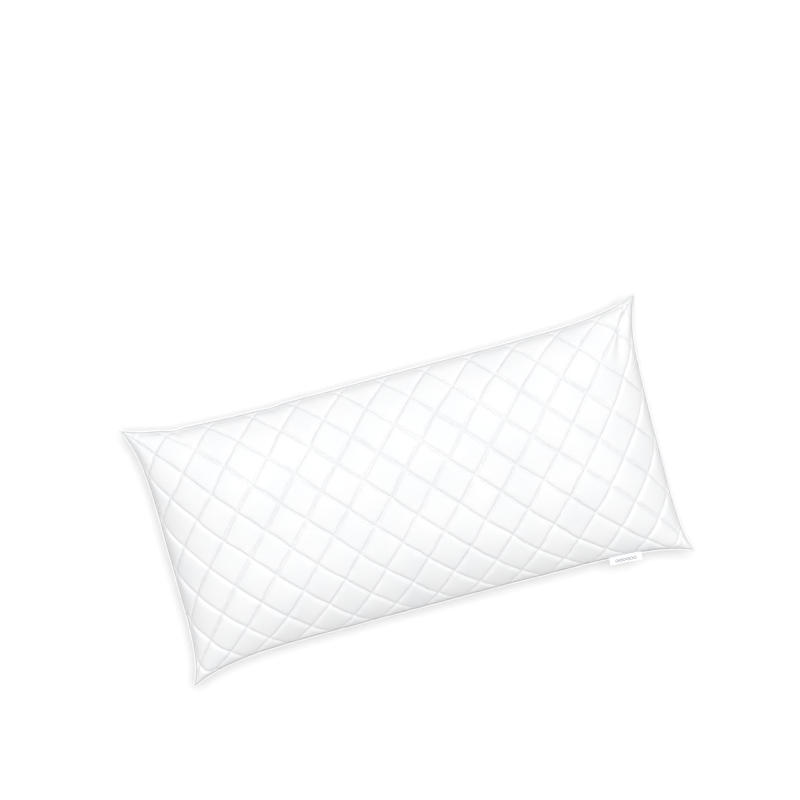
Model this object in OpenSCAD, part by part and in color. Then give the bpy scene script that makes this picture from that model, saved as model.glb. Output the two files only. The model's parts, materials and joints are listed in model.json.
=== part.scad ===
// Diamond-quilted bed pillow with a slim piping and a woven label, lying flat on its underside.
// +X runs along the long side, -Y is the side with the label and +Z is up. The origin is on the surface
// that the pillow rests on, below its middle. Sizes are in millimetres.

/* [Case] */
// Flat length of the sewn case, before filling
case_length = 800; // [600:10:900]
// Flat width of the sewn case, before filling
case_width = 410; // [300:2:500]
// Share of the length that the filling takes up
length_take_up = 0.0525; // [0.03:0.0025:0.1]
// Share of the width that the filling takes up
width_take_up = 0.125; // [0.06:0.005:0.18]
// How far each ear runs on past the straight part of the short sides
ear_length = 13; // [4:1:24]
// How far each ear runs on past the straight part of the long sides
ear_width = 21; // [4:1:28]

/* [Filling] */
// Height of the seam above the surface below
seam_height = 72; // [50:1:90]
// Rise of the filling above the seam
top_dome = 72; // [50:1:90]
// Drop of the filling below the seam, before the surface flattens it
bottom_dome = 78; // [60:1:100]

/* [Quilting] */
// Length of one diamond, from tip to tip along X
diamond_length = 65; // [48:1:80]
// Width of one diamond, from tip to tip along Y
diamond_width = 71; // [52:1:84]
// How far the pattern sits off the middle of the panel along Y
pattern_shift = 13; // [-15:1:15]
// Thickness of the wadding in the middle of a diamond
wadding_loft = 4; // [2:0.5:6]
// Thickness of the wadding where it is stitched down
wadding_stitched = 0.6; // [0.4:0.1:1]
// Thickness of the face fabric
face_thickness = 0.8; // [0.7:0.1:1.2]
// Thickness of the backing behind the wadding
backing_thickness = 0.3; // [0.2:0.1:0.5]
// Width and height of a line of quilting thread
thread_size = 0.6; // [0.4:0.1:0.8]

/* [Piping] */
// Outer radius of the piping
piping_radius = 1.75; // [1.5:0.05:2.5]
// Thickness of the piping's fabric
piping_fabric = 0.4; // [0.3:0.05:0.5]

/* [Label] */
// Length of the label along the seam
label_length = 50; // [30:1:60]
// How far the label stands out past the piping
label_depth = 8; // [5:1:12]
// Height of the label's bend above the seam
label_rise = 1; // [0:0.5:2]
// Distance of the label's middle from the middle of the long side
label_place = 290; // [100:5:300]
// Thickness of the label's ribbon
ribbon_thickness = 0.4; // [0.3:0.1:0.6]

/* [Hidden] */

fabric_white = [0.96, 0.96, 0.97];
wadding_white = [0.90, 0.92, 0.94];
backing_white = [0.84, 0.85, 0.86];
thread_white = [0.80, 0.81, 0.84];
label_white = [0.99, 0.99, 0.99];

top = 1;
bottom = -1;

// Clear gaps: between neighbouring layers, between the panels' rims, and beside the piping and the label.
ply_gap = 0.1;
rim_gap = 0.2;
piping_gap = 0.05;
cord_clearance = 0.2;
label_gap = 1.5;

// How deep the surface below flattens the lowest diamonds.
flat_depth = 0.6;

// The piping's fabric wraps this far round the cord each way from its outermost line.
cover_angle = 150;
cover_points = 8;
cord_points = 8;

// Powers of the curves: how late the surface rolls down, how late the ears flare and how full the dome is.
roll_power_x = 8;
roll_power_y = 4;
ear_power = 7;
dome_power_x = 3;
dome_power_y = 2;
dome_edge_x = 0.5;
dome_edge_y = 0.6;

half_length = case_length * (1 - length_take_up) / 2;
half_width = case_width * (1 - width_take_up) / 2;

// The panels' grid: one line every half diamond, and one at each edge. The first and last line inside
// stay a quarter of a step away from the edge.
step_x = diamond_length / 2;
step_y = diamond_width / 2;
function first_line(half, step, shift) = ceil((step / 4 - half - shift) / step);
function last_line(half, step, shift) = floor((half - step / 4 - shift) / step);
function grid_lines(half, step, shift) = concat(
    -half,
    [for (k = [first_line(half, step, shift) : last_line(half, step, shift)]) shift + k * step],
    half
);
columns = grid_lines(case_length / 2, step_x, 0);
rows = grid_lines(case_width / 2, step_y, pattern_shift);
last_i = len(columns) - 1;
last_j = len(rows) - 1;
first_lines = first_line(case_length / 2, step_x, 0) + first_line(case_width / 2, step_y, pattern_shift);

// Two lines of quilting cross at every second point of the grid. The other points are diamond middles.
function is_rim(i, j) = i == 0 || j == 0 || i == last_i || j == last_j;
function is_crossing(i, j) = abs(i + j + first_lines) % 2 == 1;
function cell_rises(i, j) = is_crossing(i, j);

// Places on the filled pillow, each coordinate from -1 to 1 between opposite edges.
function rolled(q, take_up, power) =
    let (spare = 1 / (1 - take_up) - 1) (1 + spare) * q - spare * sign(q) * pow(abs(q), power);
function along(i) = rolled(columns[i] / (case_length / 2), length_take_up, roll_power_x);
function across(j) = rolled(rows[j] / (case_width / 2), width_take_up, roll_power_y);
function flare(q) = pow(abs(q), ear_power);
function plan_place(i, j) = [
    along(i) * (half_length + ear_length * flare(across(j))),
    across(j) * (half_width + ear_width * flare(along(i)))
];
function fullness(i, j) = is_rim(i, j) ? 0 :
    pow(1 - pow(abs(along(i)), dome_power_x), dome_edge_x)
    * pow(1 - pow(abs(across(j)), dome_power_y), dome_edge_y);

// Heights of a panel's surfaces above the filling, each as [at a stitched line, in a diamond's middle].
backing_in = [rim_gap, rim_gap];
backing_out = backing_in + [backing_thickness, backing_thickness];
wadding_in = backing_out + [ply_gap, ply_gap];
wadding_out = wadding_in + [wadding_stitched, wadding_loft];
face_in = wadding_out + [ply_gap, ply_gap];
face_out = face_in + [face_thickness, face_thickness];
fill_out = [ply_gap / 2, ply_gap / 2];
rim_half_height = face_out[0];

// The underside's filling goes no lower than this, so that its diamonds just reach flat_depth below zero.
lowest_fill = seam_height + flat_depth - face_out[1];
function fill_height(i, j, side) =
    side == top ? top_dome * fullness(i, j) : min(bottom_dome * fullness(i, j), lowest_fill);
function stack_height(i, j, surface) = surface[is_crossing(i, j) || is_rim(i, j) ? 0 : 1];
function surface_place(i, j, side, surface) = concat(
    plan_place(i, j),
    seam_height + side * (fill_height(i, j, side) + stack_height(i, j, surface))
);
function surface_places(side, surface) =
    [for (i = [0 : last_i]) for (j = [0 : last_j]) surface_place(i, j, side, surface)];

// Faces of a closed slab between an upper grid of points and the lower grid that follows it in the list.
// Each cell is split along its line of quilting.
grid_count = (last_i + 1) * (last_j + 1);
function at(i, j, base = 0) = base + i * (last_j + 1) + j;
function cell_faces(i, j, b) = cell_rises(i, j)
    ? [[at(i, j, b), at(i, j + 1, b), at(i + 1, j + 1, b)],
       [at(i, j, b), at(i + 1, j + 1, b), at(i + 1, j, b)]]
    : [[at(i, j, b), at(i, j + 1, b), at(i + 1, j, b)],
       [at(i, j + 1, b), at(i + 1, j + 1, b), at(i + 1, j, b)]];
function flipped(face) = [for (k = [len(face) - 1 : -1 : 0]) face[k]];
function wall(a, b) = [a, b, b + grid_count, a + grid_count];
slab_faces = concat(
    [for (i = [0 : last_i - 1]) for (j = [0 : last_j - 1]) each cell_faces(i, j, 0)],
    [
        for (i = [0 : last_i - 1]) for (j = [0 : last_j - 1])
            for (face = cell_faces(i, j, grid_count)) flipped(face)
    ],
    [for (i = [0 : last_i - 1]) wall(at(i, 0), at(i + 1, 0))],
    [for (i = [0 : last_i - 1]) wall(at(i + 1, last_j), at(i, last_j))],
    [for (j = [0 : last_j - 1]) wall(at(0, j + 1), at(0, j))],
    [for (j = [0 : last_j - 1]) wall(at(last_i, j), at(last_i, j + 1))]
);
module slab(upper, lower) {
    polyhedron(points = concat(upper, lower), faces = slab_faces, convexity = 10);
}

// One layer of a panel, between its inner and its outer surface.
module panel_layer(side, inner, outer) {
    if (side == top) slab(surface_places(top, outer), surface_places(top, inner));
    else slab(surface_places(bottom, inner), surface_places(bottom, outer));
}

// Quilting thread: a three-sided strand along every line of one direction, just clear of its valley. lean is
// 1 for the lines that rise to +Y along +X and -1 for those that fall. Falling lines pass over rising ones.
thread_lift = 0.7;
thread_step = thread_size + 0.15;
function grid_i(i) = min(max(i, 0), last_i);
function grid_j(j) = min(max(j, 0), last_j);
function nearby(i, j, side) = surface_place(grid_i(i), grid_j(j), side, face_out);
function strand_ring(i, j, side, lean) =
    let (
        middle = nearby(i, j, side),
        share = thread_size / (step_x + step_y),
        left = nearby(i - 1, j, side) + nearby(i, j + lean, side) - 2 * middle,
        right = nearby(i + 1, j, side) + nearby(i, j - lean, side) - 2 * middle,
        lift = [0, 0, side * (thread_lift + (lean < 0 ? thread_step : 0))]
    )
    [
        middle + share * left + lift,
        middle + share * right + lift,
        middle + lift + [0, 0, side * thread_size]
    ];
function ring(i, j) = 3 * at(i, j);
function strand_sides(a, b) = [
    for (k = [0 : 2]) let (next = (k + 1) % 3)
        each [[a + k, b + k, b + next], [a + k, b + next, a + next]]
];
function starts_here(i, j, lean) = i == 0 || (lean > 0 ? j == 0 : j == last_j);
function ends_here(i, j, lean) = i == last_i || (lean > 0 ? j == last_j : j == 0);
function strand_faces(i, j, lean) =
    let (
        a = lean > 0 ? ring(i, j) : ring(i, j + 1),
        b = lean > 0 ? ring(i + 1, j + 1) : ring(i + 1, j),
        from_j = lean > 0 ? j : j + 1,
        to_j = lean > 0 ? j + 1 : j
    )
    concat(
        strand_sides(a, b),
        starts_here(i, from_j, lean) ? [[a, a + 1, a + 2]] : [],
        ends_here(i + 1, to_j, lean) ? [[b + 2, b + 1, b]] : []
    );
module quilting_thread(side, lean) {
    rings = [for (i = [0 : last_i]) for (j = [0 : last_j]) for (p = strand_ring(i, j, side, lean)) p];
    faces = [
        for (i = [0 : last_i - 1]) for (j = [0 : last_j - 1])
            if (cell_rises(i, j) == (lean > 0)) for (f = strand_faces(i, j, lean)) f
    ];
    polyhedron(
        points = rings,
        faces = side * lean > 0 ? faces : [for (f = faces) flipped(f)],
        convexity = 10
    );
}

// The seam's outline, anticlockwise from above, and the outward direction at each of its points. The
// direction is lengthened at a corner, so that a band set off along it keeps its width.
outline = concat(
    [for (i = [0 : last_i - 1]) plan_place(i, 0)],
    [for (j = [0 : last_j - 1]) plan_place(last_i, j)],
    [for (i = [last_i : -1 : 1]) plan_place(i, last_j)],
    [for (j = [last_j : -1 : 1]) plan_place(0, j)]
);
outline_count = len(outline);
function side_normal(k) =
    let (
        a = outline[k % outline_count],
        b = outline[(k + 1) % outline_count],
        d = (b - a) / norm(b - a)
    )
    [d[1], -d[0]];
function outward(k) =
    let (
        n0 = side_normal(k + outline_count - 1),
        n1 = side_normal(k),
        sum = n0 + n1
    )
    2 * sum / (sum * sum);
outward_at = [for (k = [0 : outline_count - 1]) outward(k)];

// A closed band of one section round the outline. The section's points are [outward, up] from the top
// edge of the seam, listed clockwise as seen along the outline.
module outline_band(section) {
    count = len(section);
    places = [
        for (k = [0 : outline_count - 1]) for (p = section)
            concat(outline[k] + p[0] * outward_at[k], seam_height + p[1])
    ];
    faces = [
        for (k = [0 : outline_count - 1]) for (m = [0 : count - 1])
            let (next = (k + 1) % outline_count, after = (m + 1) % count)
            [k * count + m, k * count + after, next * count + after, next * count + m]
    ];
    polyhedron(points = places, faces = faces, convexity = 10);
}
piping_centre = piping_radius + piping_gap;
cord_radius = piping_radius - piping_fabric - cord_clearance;
function on_circle(radius, angle) = [piping_centre + radius * cos(angle), radius * sin(angle)];

module top_face_fabric() {
    color(fabric_white) panel_layer(top, face_in, face_out);
}

module top_wadding() {
    color(wadding_white) panel_layer(top, wadding_in, wadding_out);
}

module top_backing() {
    color(backing_white) panel_layer(top, backing_in, backing_out);
}

module top_quilting_thread_rising() {
    color(thread_white) quilting_thread(top, 1);
}

module top_quilting_thread_falling() {
    color(thread_white) quilting_thread(top, -1);
}

// The surface below flattens the lowest diamonds to one level.
module bottom_face_fabric() {
    below = 2 * flat_depth;
    color(fabric_white) difference() {
        panel_layer(bottom, face_in, face_out);
        translate([-case_length / 2, -case_width / 2, -below]) cube([case_length, case_width, below]);
    }
}

module bottom_wadding() {
    color(wadding_white) panel_layer(bottom, wadding_in, wadding_out);
}

module bottom_backing() {
    color(backing_white) panel_layer(bottom, backing_in, backing_out);
}

module bottom_quilting_thread_rising() {
    color(thread_white) quilting_thread(bottom, 1);
}

module bottom_quilting_thread_falling() {
    color(thread_white) quilting_thread(bottom, -1);
}

// The loose filling, as the one solid that it fills the case with.
module fibre_fill() {
    color(wadding_white) slab(surface_places(top, fill_out), surface_places(bottom, fill_out));
}

// Fabric folded round the cord, open towards the panels.
module piping_cover() {
    turns = [for (m = [0 : cover_points]) cover_angle * (1 - 2 * m / cover_points)];
    outer = [for (angle = turns) on_circle(piping_radius, angle)];
    inner = [for (angle = turns) on_circle(piping_radius - piping_fabric, -angle)];
    color(fabric_white) outline_band(concat(outer, inner));
}

module piping_cord() {
    color(thread_white) outline_band([
        for (m = [0 : cord_points - 1])
            on_circle(cord_radius, -360 * m / cord_points)
    ]);
}

// Stitches that close the case, in the corner between the top panel's rim and the piping.
module edge_seam_thread() {
    color(thread_white) outline_band([
        [piping_gap, rim_half_height - thread_size],
        [piping_gap, rim_half_height],
        [piping_gap + thread_size, rim_half_height]
    ]);
}

// Ribbon folded in two, with its fold outwards. It starts where it bends, just clear of the piping, and
// lies along the seam, which already flares towards the ear there.
seam_half_length = half_length + ear_length;
label_share = label_place / seam_half_length;
label_edge = -half_width - ear_width * pow(label_share, ear_power);
label_turn = -atan(ear_power * ear_width * pow(label_share, ear_power - 1) / seam_half_length);
label_offset = 2 * piping_radius + label_gap;
label_half_height = 1.5 * ribbon_thickness;
module folded_ribbon() {
    straight = label_depth - label_half_height;
    difference() {
        union() {
            translate([-straight, 0]) circle(label_half_height, $fn = 32);
            translate([-straight, -label_half_height]) square([straight, 2 * label_half_height]);
        }
        translate([-straight, -ribbon_thickness / 2]) square([label_depth, ribbon_thickness]);
    }
}
module woven_label() {
    color(label_white) translate([label_place, label_edge, seam_height + label_rise])
        rotate([0, 0, label_turn]) translate([-label_length / 2, -label_offset, 0])
        rotate([90, 0, 90]) linear_extrude(label_length) folded_ribbon();
}

top_face_fabric();
top_wadding();
top_backing();
top_quilting_thread_rising();
top_quilting_thread_falling();
bottom_face_fabric();
bottom_wadding();
bottom_backing();
bottom_quilting_thread_rising();
bottom_quilting_thread_falling();
fibre_fill();
piping_cover();
piping_cord();
edge_seam_thread();
woven_label();
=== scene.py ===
"""A diamond-quilted bed pillow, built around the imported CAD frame.

The case is one cloth simulation of two flat panels sewn together at the rim and blown up by the filling.
Everything else is laid on the panels that come out of it: the quilting relief, the stitches, the piping
and the label. Lengths are in metres. (u, v) is a place on a flat panel, before the pillow is filled.
"""
import json
import math

import bpy
import numpy as np
from mathutils import Matrix, Vector


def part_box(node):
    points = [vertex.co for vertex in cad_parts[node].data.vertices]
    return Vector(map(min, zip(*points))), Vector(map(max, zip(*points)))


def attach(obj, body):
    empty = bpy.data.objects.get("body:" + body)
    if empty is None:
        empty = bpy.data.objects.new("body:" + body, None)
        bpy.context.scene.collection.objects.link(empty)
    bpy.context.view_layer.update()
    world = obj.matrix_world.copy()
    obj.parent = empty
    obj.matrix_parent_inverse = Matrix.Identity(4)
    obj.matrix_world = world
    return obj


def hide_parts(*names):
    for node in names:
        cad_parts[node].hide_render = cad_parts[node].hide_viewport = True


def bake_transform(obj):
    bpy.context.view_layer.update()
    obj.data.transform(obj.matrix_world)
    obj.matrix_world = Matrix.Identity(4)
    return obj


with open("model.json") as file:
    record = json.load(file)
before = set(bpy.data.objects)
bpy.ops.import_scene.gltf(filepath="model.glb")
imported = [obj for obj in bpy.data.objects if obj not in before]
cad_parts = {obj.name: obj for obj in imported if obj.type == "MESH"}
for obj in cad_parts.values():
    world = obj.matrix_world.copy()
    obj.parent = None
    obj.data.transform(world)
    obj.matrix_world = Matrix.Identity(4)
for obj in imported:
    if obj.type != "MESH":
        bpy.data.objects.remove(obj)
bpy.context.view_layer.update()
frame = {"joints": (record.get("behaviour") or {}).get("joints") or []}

MM = 0.001
TOP, BOTTOM = 1, -1

# ---------------------------------------------------------------- sizes that follow the CAD
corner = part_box("top_face_fabric")[1]
piping_low, piping_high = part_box("piping_cover")
SEAM_Z = (piping_low[2] + piping_high[2]) / 2
# The ears reach this far beyond the middles of the sides.
EAR_X, EAR_Y = 13 * MM, 21 * MM
MID_X, MID_Y = corner[0] - EAR_X, corner[1] - EAR_Y
HALF_U, HALF_V = 400 * MM, 205 * MM
TOP_DOME, BOTTOM_DOME = 72 * MM, 78 * MM
PIPING_R = (piping_high[2] - piping_low[2]) / 2
FLOOR_Z = 0.0

# Quilting: half of a diamond along u and along v, and how far the pattern sits off the panel's middle.
STEP_U, STEP_V, SHIFT_V = 32.5 * MM, 35.5 * MM, 13 * MM
LINE_GAP = 2 * STEP_U * STEP_V / math.hypot(STEP_U, STEP_V)

# The stack of a panel above the filling: backing, wadding and face fabric.
BACKING_IN, BACKING_OUT, WADDING_IN = 0.2 * MM, 0.5 * MM, 0.6 * MM
STITCHED, LOFT, PLY_GAP, FACE = 0.6 * MM, 6.0 * MM, 0.1 * MM, 0.8 * MM

SIM_STEP = 8 * MM
SIM_FRAMES = 26
# How far the simulation may move the cloth: this much in the middle, and this share of it at the seam.
SWELL, SWELL_AT_SEAM, SWELL_REACH = 6 * MM, 0.04, 80 * MM


# ---------------------------------------------------------------- smooth numbers
def smooth(t):
    t = np.clip(t, 0, 1)
    return t * t * (3 - 2 * t)


def noise(u, v, size, seed):
    """Value noise from -1 to 1 with lumps of about size."""
    rng = np.random.default_rng(seed)
    table = rng.uniform(-1, 1, (64, 64))
    a, b = u / size + 20.3, v / size + 20.7
    i, j = np.floor(a).astype(int), np.floor(b).astype(int)
    p, q = smooth(a - i), smooth(b - j)

    def at(m, n):
        return table[m % 64, n % 64]

    low = at(i, j) * (1 - p) + at(i + 1, j) * p
    high = at(i, j + 1) * (1 - p) + at(i + 1, j + 1) * p
    return low * (1 - q) + high * q


def rim_distance(u, v):
    return np.minimum(HALF_U - np.abs(u), HALF_V - np.abs(v))


# ---------------------------------------------------------------- the filled shape before simulation
ROLL_X, ROLL_Y, EAR_POWER = 11, 5, 7
# Both panels meet in a flat flange inside the piping, this wide, this far apart at its root.
FLANGE, FLANGE_RUN, FLANGE_ROOT = 4.5 * MM, 0.97, 0.9 * MM


def roll_profile(half, reach, power):
    """A strip that keeps its length as it rolls down to the flange: its place and height from 1 to 0."""
    q = np.linspace(0, 1, 801)
    root = 1 - FLANGE / half
    bend = power * (1 - (reach / half - (1 - root) * FLANGE_RUN) / root) / root ** (power - 1)
    run = np.where(q < root, 1 - bend * q ** (power - 1), FLANGE_RUN)
    fall = np.where(q < root, np.sqrt(np.clip(1 - run**2, 0, 1)), 0)
    place = np.concatenate([[0], np.cumsum((run[1:] + run[:-1]) / 2)])
    drop = np.concatenate([[0], np.cumsum((fall[1:] + fall[:-1]) / 2)])
    lip = FLANGE_ROOT / TOP_DOME
    height = np.where(q < root, lip + (1 - lip) * (1 - drop / drop[-1]), lip * (1 - q) / (1 - root))
    return q, place / place[-1], height


PROFILE_X = roll_profile(HALF_U, MID_X, ROLL_X)
PROFILE_Y = roll_profile(HALF_V, MID_Y, ROLL_Y)


def rolled(q, profile):
    return np.sign(q) * np.interp(np.abs(q), profile[0], profile[1])


LEAST_GAP = 0.15 * MM


def half_gap(u, v, side):
    """How far a panel stands off the seam's plane. The panels nearly touch in the flange and in the ears."""
    full = np.interp(np.abs(u) / HALF_U, PROFILE_X[0], PROFILE_X[2])
    full = full * np.interp(np.abs(v) / HALF_V, PROFILE_Y[0], PROFILE_Y[2])
    dome = TOP_DOME if side == TOP else BOTTOM_DOME
    return full * dome + LEAST_GAP * smooth(rim_distance(u, v) / (4 * MM))


# How every ear lies: (side of x, side of y): reach along x, reach along y, lift, and how short it is along y.
EARS = {
    (1, 1): (18.5 * MM, 25 * MM, 16 * MM, 4),
    (-1, 1): (19.5 * MM, 21.5 * MM, -2 * MM, 4.5),
    (1, -1): (13 * MM, 21 * MM, 3 * MM, 7),
    (-1, -1): (17 * MM, 29 * MM, -4 * MM, 6),
}
REACH_X, REACH_Y, LIFT, POWER_X = range(4)


def by_corner(s, t, what):
    """A value that drifts from one ear's to the next one's across the panel's middle."""
    right, back = smooth(s + 0.5), smooth(t + 0.5)
    shares = {(1, 1): right * back, (-1, 1): (1 - right) * back, (1, -1): right * (1 - back)}
    shares[(-1, -1)] = (1 - right) * (1 - back)
    return sum(share * EARS[corner][what] for corner, share in shares.items())


def seam_lift(s, t):
    """How far the seam leaves its plane: every ear lies in its own way."""
    ear = np.abs(s) ** 9 * np.abs(t) ** 7
    return ear * by_corner(s, t, LIFT) + 1.2 * MM * noise(s, t, 0.35, 5) * (1 - 0.5 * ear)


# small dips in the long side away from the label: place along it and depth
SEAM_DIPS = ((-310 * MM, 2.6 * MM), (-165 * MM, 2 * MM))
DIP_WIDTH = 14 * MM


def plan(u, v):
    s = rolled(u / HALF_U, PROFILE_X)
    t = rolled(v / HALF_V, PROFILE_Y)
    x = s * (MID_X + by_corner(s, t, REACH_X) * np.abs(t) ** by_corner(s, t, POWER_X))
    y = t * (MID_Y + by_corner(s, t, REACH_Y) * np.abs(s) ** EAR_POWER)
    # the seam isn't ruled straight: slow waves, and the dips
    y = y + 0.9 * MM * noise(s, np.sign(t) * 0.5, 0.16, 11) * np.abs(t) ** 6 * (1 - s**8)
    x = x + 0.8 * MM * noise(np.sign(s) * 0.5, t, 0.3, 12) * np.abs(s) ** 6 * (1 - t**8)
    for place, depth in SEAM_DIPS:
        y = y - depth * np.exp(-(((u - place) / DIP_WIDTH) ** 2)) * smooth((t - 0.75) / 0.25)
    return x, y, s, t


def filled_shape(u, v, side):
    x, y, s, t = plan(u, v)
    z = SEAM_Z + seam_lift(s, t) + side * half_gap(u, v, side)
    return np.stack([x, y, z], -1)


# ---------------------------------------------------------------- cloth simulation of the case
SIM_U = np.linspace(-HALF_U, HALF_U, round(2 * HALF_U / SIM_STEP) + 1)
SIM_V = np.linspace(-HALF_V, HALF_V, round(2 * HALF_V / SIM_STEP) + 1)


def sim_mesh():
    """Both panels as one closed mesh that shares the rim's points, and where each grid point is in it."""
    nu, nv = len(SIM_U), len(SIM_V)
    gu, gv = np.meshgrid(SIM_U, SIM_V, indexing="ij")
    rim = np.zeros((nu, nv), bool)
    rim[[0, -1], :] = rim[:, [0, -1]] = True
    index_top = np.arange(nu * nv).reshape(nu, nv)
    index_bottom = index_top.copy()
    index_bottom[~rim] = nu * nv + np.arange((~rim).sum())
    start = np.concatenate([filled_shape(gu, gv, TOP).reshape(-1, 3), filled_shape(gu, gv, BOTTOM)[~rim]])
    flat = np.stack([gu, gv, np.full_like(gu, SEAM_Z)], -1)
    flat = np.concatenate([flat.reshape(-1, 3), flat[~rim]])
    faces = []
    for index, side in ((index_top, TOP), (index_bottom, BOTTOM)):
        a, b, c, d = index[:-1, :-1], index[1:, :-1], index[1:, 1:], index[:-1, 1:]
        quads = np.stack([a, b, c, d] if side == TOP else [a, d, c, b], -1)
        faces += quads.reshape(-1, 4).tolist()
    return start, flat, faces, index_top, index_bottom, rim


def simulate():
    start, flat, faces, index_top, index_bottom, rim = sim_mesh()
    points = start
    mesh = bpy.data.meshes.new("case_sim")
    mesh.from_pydata(start.tolist(), [], faces)
    piece = bpy.data.objects.new("case_sim", mesh)
    bpy.context.collection.objects.link(piece)
    piece.shape_key_add(name="Basis")
    rest = piece.shape_key_add(name="flat")
    rest.data.foreach_set("co", flat.astype(np.float32).ravel())
    held = piece.vertex_groups.new(name="held")
    flange = rim_distance(flat[:, 0], flat[:, 1]) < FLANGE + SIM_STEP / 3
    held.add(np.flatnonzero(flange).tolist(), 1.0, "REPLACE")
    cloth = piece.modifiers.new("cloth", "CLOTH")
    s = cloth.settings
    s.quality = 8
    s.mass = 0.4
    s.tension_stiffness = s.compression_stiffness = 25
    s.shear_stiffness = 8
    s.bending_stiffness = 12
    s.tension_damping = s.compression_damping = s.shear_damping = 12
    s.air_damping = 4
    s.use_pressure = True
    s.uniform_pressure_force = 5
    s.rest_shape_key = rest
    s.vertex_group_mass = "held"
    s.pin_stiffness = 1
    s.effector_weights.gravity = 0
    cloth.collision_settings.use_collision = False
    cloth.collision_settings.use_self_collision = False
    scene = bpy.context.scene
    cloth.point_cache.frame_start, cloth.point_cache.frame_end = 1, SIM_FRAMES
    for number in range(1, SIM_FRAMES + 1):
        scene.frame_set(number)
    shown = piece.evaluated_get(bpy.context.evaluated_depsgraph_get())
    out = np.empty(len(shown.data.vertices) * 3, np.float32)
    shown.data.vertices.foreach_get("co", out)
    points = out.reshape(-1, 3).astype(float)
    scene.frame_set(1)
    bpy.data.objects.remove(piece)
    bpy.data.meshes.remove(mesh)
    inside = rim_distance(flat[:, 0], flat[:, 1]) / SWELL_REACH
    most = (SWELL * (SWELL_AT_SEAM + (1 - SWELL_AT_SEAM) * smooth(inside)))[:, None]
    moved = points - start
    size = np.maximum(np.linalg.norm(moved, axis=1, keepdims=True), 1e-9)
    points = start + moved * most * np.tanh(size / most) / size
    return {TOP: points[index_top], BOTTOM: points[index_bottom]}


case = simulate()


# ---------------------------------------------------------------- places on the panels
def cubic_sample(grid, u, v):
    """Catmull-Rom through a grid of points, at the places (u, v)."""

    def taps(q, axis):
        count = len(axis)
        a = (q - axis[0]) / (axis[1] - axis[0])
        i = np.clip(np.floor(a).astype(int), 0, count - 2)
        f = a - i
        w = [
            -0.5 * f + f**2 - 0.5 * f**3,
            1 - 2.5 * f**2 + 1.5 * f**3,
            0.5 * f + 2 * f**2 - 1.5 * f**3,
            -0.5 * f**2 + 0.5 * f**3,
        ]
        return i, w

    padded = np.pad(grid, ((1, 1), (1, 1), (0, 0)), mode="edge")
    padded[0], padded[-1] = 2 * padded[1] - padded[2], 2 * padded[-2] - padded[-3]
    padded[:, 0] = 2 * padded[:, 1] - padded[:, 2]
    padded[:, -1] = 2 * padded[:, -2] - padded[:, -3]
    i, wi = taps(u, SIM_U)
    j, wj = taps(v, SIM_V)
    out = np.zeros(np.shape(u) + (3,))
    for m in range(4):
        for n in range(4):
            out += (wi[m] * wj[n])[..., None] * padded[i + m, j + n]
    return out


REACH = 1.5 * MM
WOBBLE = 1.3 * MM


def base_place(side, u, v):
    """The filling's surface and its outward normal at (u, v)."""
    grid = case[side]
    # no line of quilting is quite straight
    loose = WOBBLE * smooth(rim_distance(u, v) / (30 * MM))
    u, v = u + loose * noise(u, v, 26 * MM, 111 + side), v + loose * noise(u, v, 26 * MM, 114 + side)

    def at(p, q):
        return cubic_sample(grid, np.clip(p, -HALF_U, HALF_U), np.clip(q, -HALF_V, HALF_V))

    normal = side * np.cross(at(u + REACH, v) - at(u - REACH, v), at(u, v + REACH) - at(u, v - REACH))
    return at(u, v), normal / np.linalg.norm(normal, axis=-1, keepdims=True)


def line_distances(u, v):
    """Distance to the nearest falling and the nearest rising line of quilting."""
    a = u / (2 * STEP_U) + (v - SHIFT_V) / (2 * STEP_V)
    b = u / (2 * STEP_U) - (v - SHIFT_V) / (2 * STEP_V)
    return [np.abs((q - 0.5) - np.round(q - 0.5)) * LINE_GAP for q in (a, b)]


NARROW, VALLEY = 1.5 * MM, 0.9 * MM


def puff(u, v, side):
    """0 on a stitched line, 1 in a diamond's middle: a sharp valley in a broad soft swell."""
    # the valley's floor is rounded
    da, db = (np.hypot(d, VALLEY) - VALLEY for d in line_distances(u, v))
    pull = 1 + 0.25 * noise(u, v, 9 * MM, 21 + side) + 0.2 * noise(u, v, 30 * MM, 31 + side)
    sharp = (1 - np.exp(-da / (NARROW * pull))) * (1 - np.exp(-db / (NARROW * pull)))
    half = LINE_GAP / 2
    swell = (1 - (1 - da / half) ** 2) * (1 - (1 - db / half) ** 2)
    # short puckers that run across the stitching and die out towards a diamond's middle
    pucker = noise(u, v, 6 * MM, 41 + side) * np.exp(-np.minimum(da, db) / (5 * MM)) * 0.10
    slack = 0.08 + 0.08 * noise(u, v, 42 * MM, 121 + side)
    return slack + (1 - slack) * (0.8 * sharp + 0.2 * swell) + pucker * sharp


# the height that is left at the rim
TUCKED = 0.3


def stack(side, u, v, part):
    """Height above the filling of one surface of the panel. Every ply thins out into the seam."""
    edge = smooth(rim_distance(u, v) / (9 * MM))
    room = 0.25 * edge + 0.75 * smooth(rim_distance(u, v) / (26 * MM))
    wadding = STITCHED * (0.25 + 0.75 * edge) + (LOFT - STITCHED) * puff(u, v, side) * room
    # the face fabric turns down into the seam beside the piping
    tuck = TUCKED + (1 - TUCKED) * smooth(rim_distance(u, v) / (2 * MM))
    heights = {
        "fill": 0 * u,
        "backing_in": BACKING_IN + 0 * u,
        "backing_out": BACKING_OUT + 0 * u,
        "wadding_in": WADDING_IN + 0 * u,
        "wadding_out": WADDING_IN + wadding,
        "face_in": (WADDING_IN + wadding + PLY_GAP) * tuck - 0.1 * MM * (1 - tuck),
        "face_out": (WADDING_IN + wadding + PLY_GAP + FACE * (0.5 + 0.5 * edge)) * tuck,
    }
    return heights[part]


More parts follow.
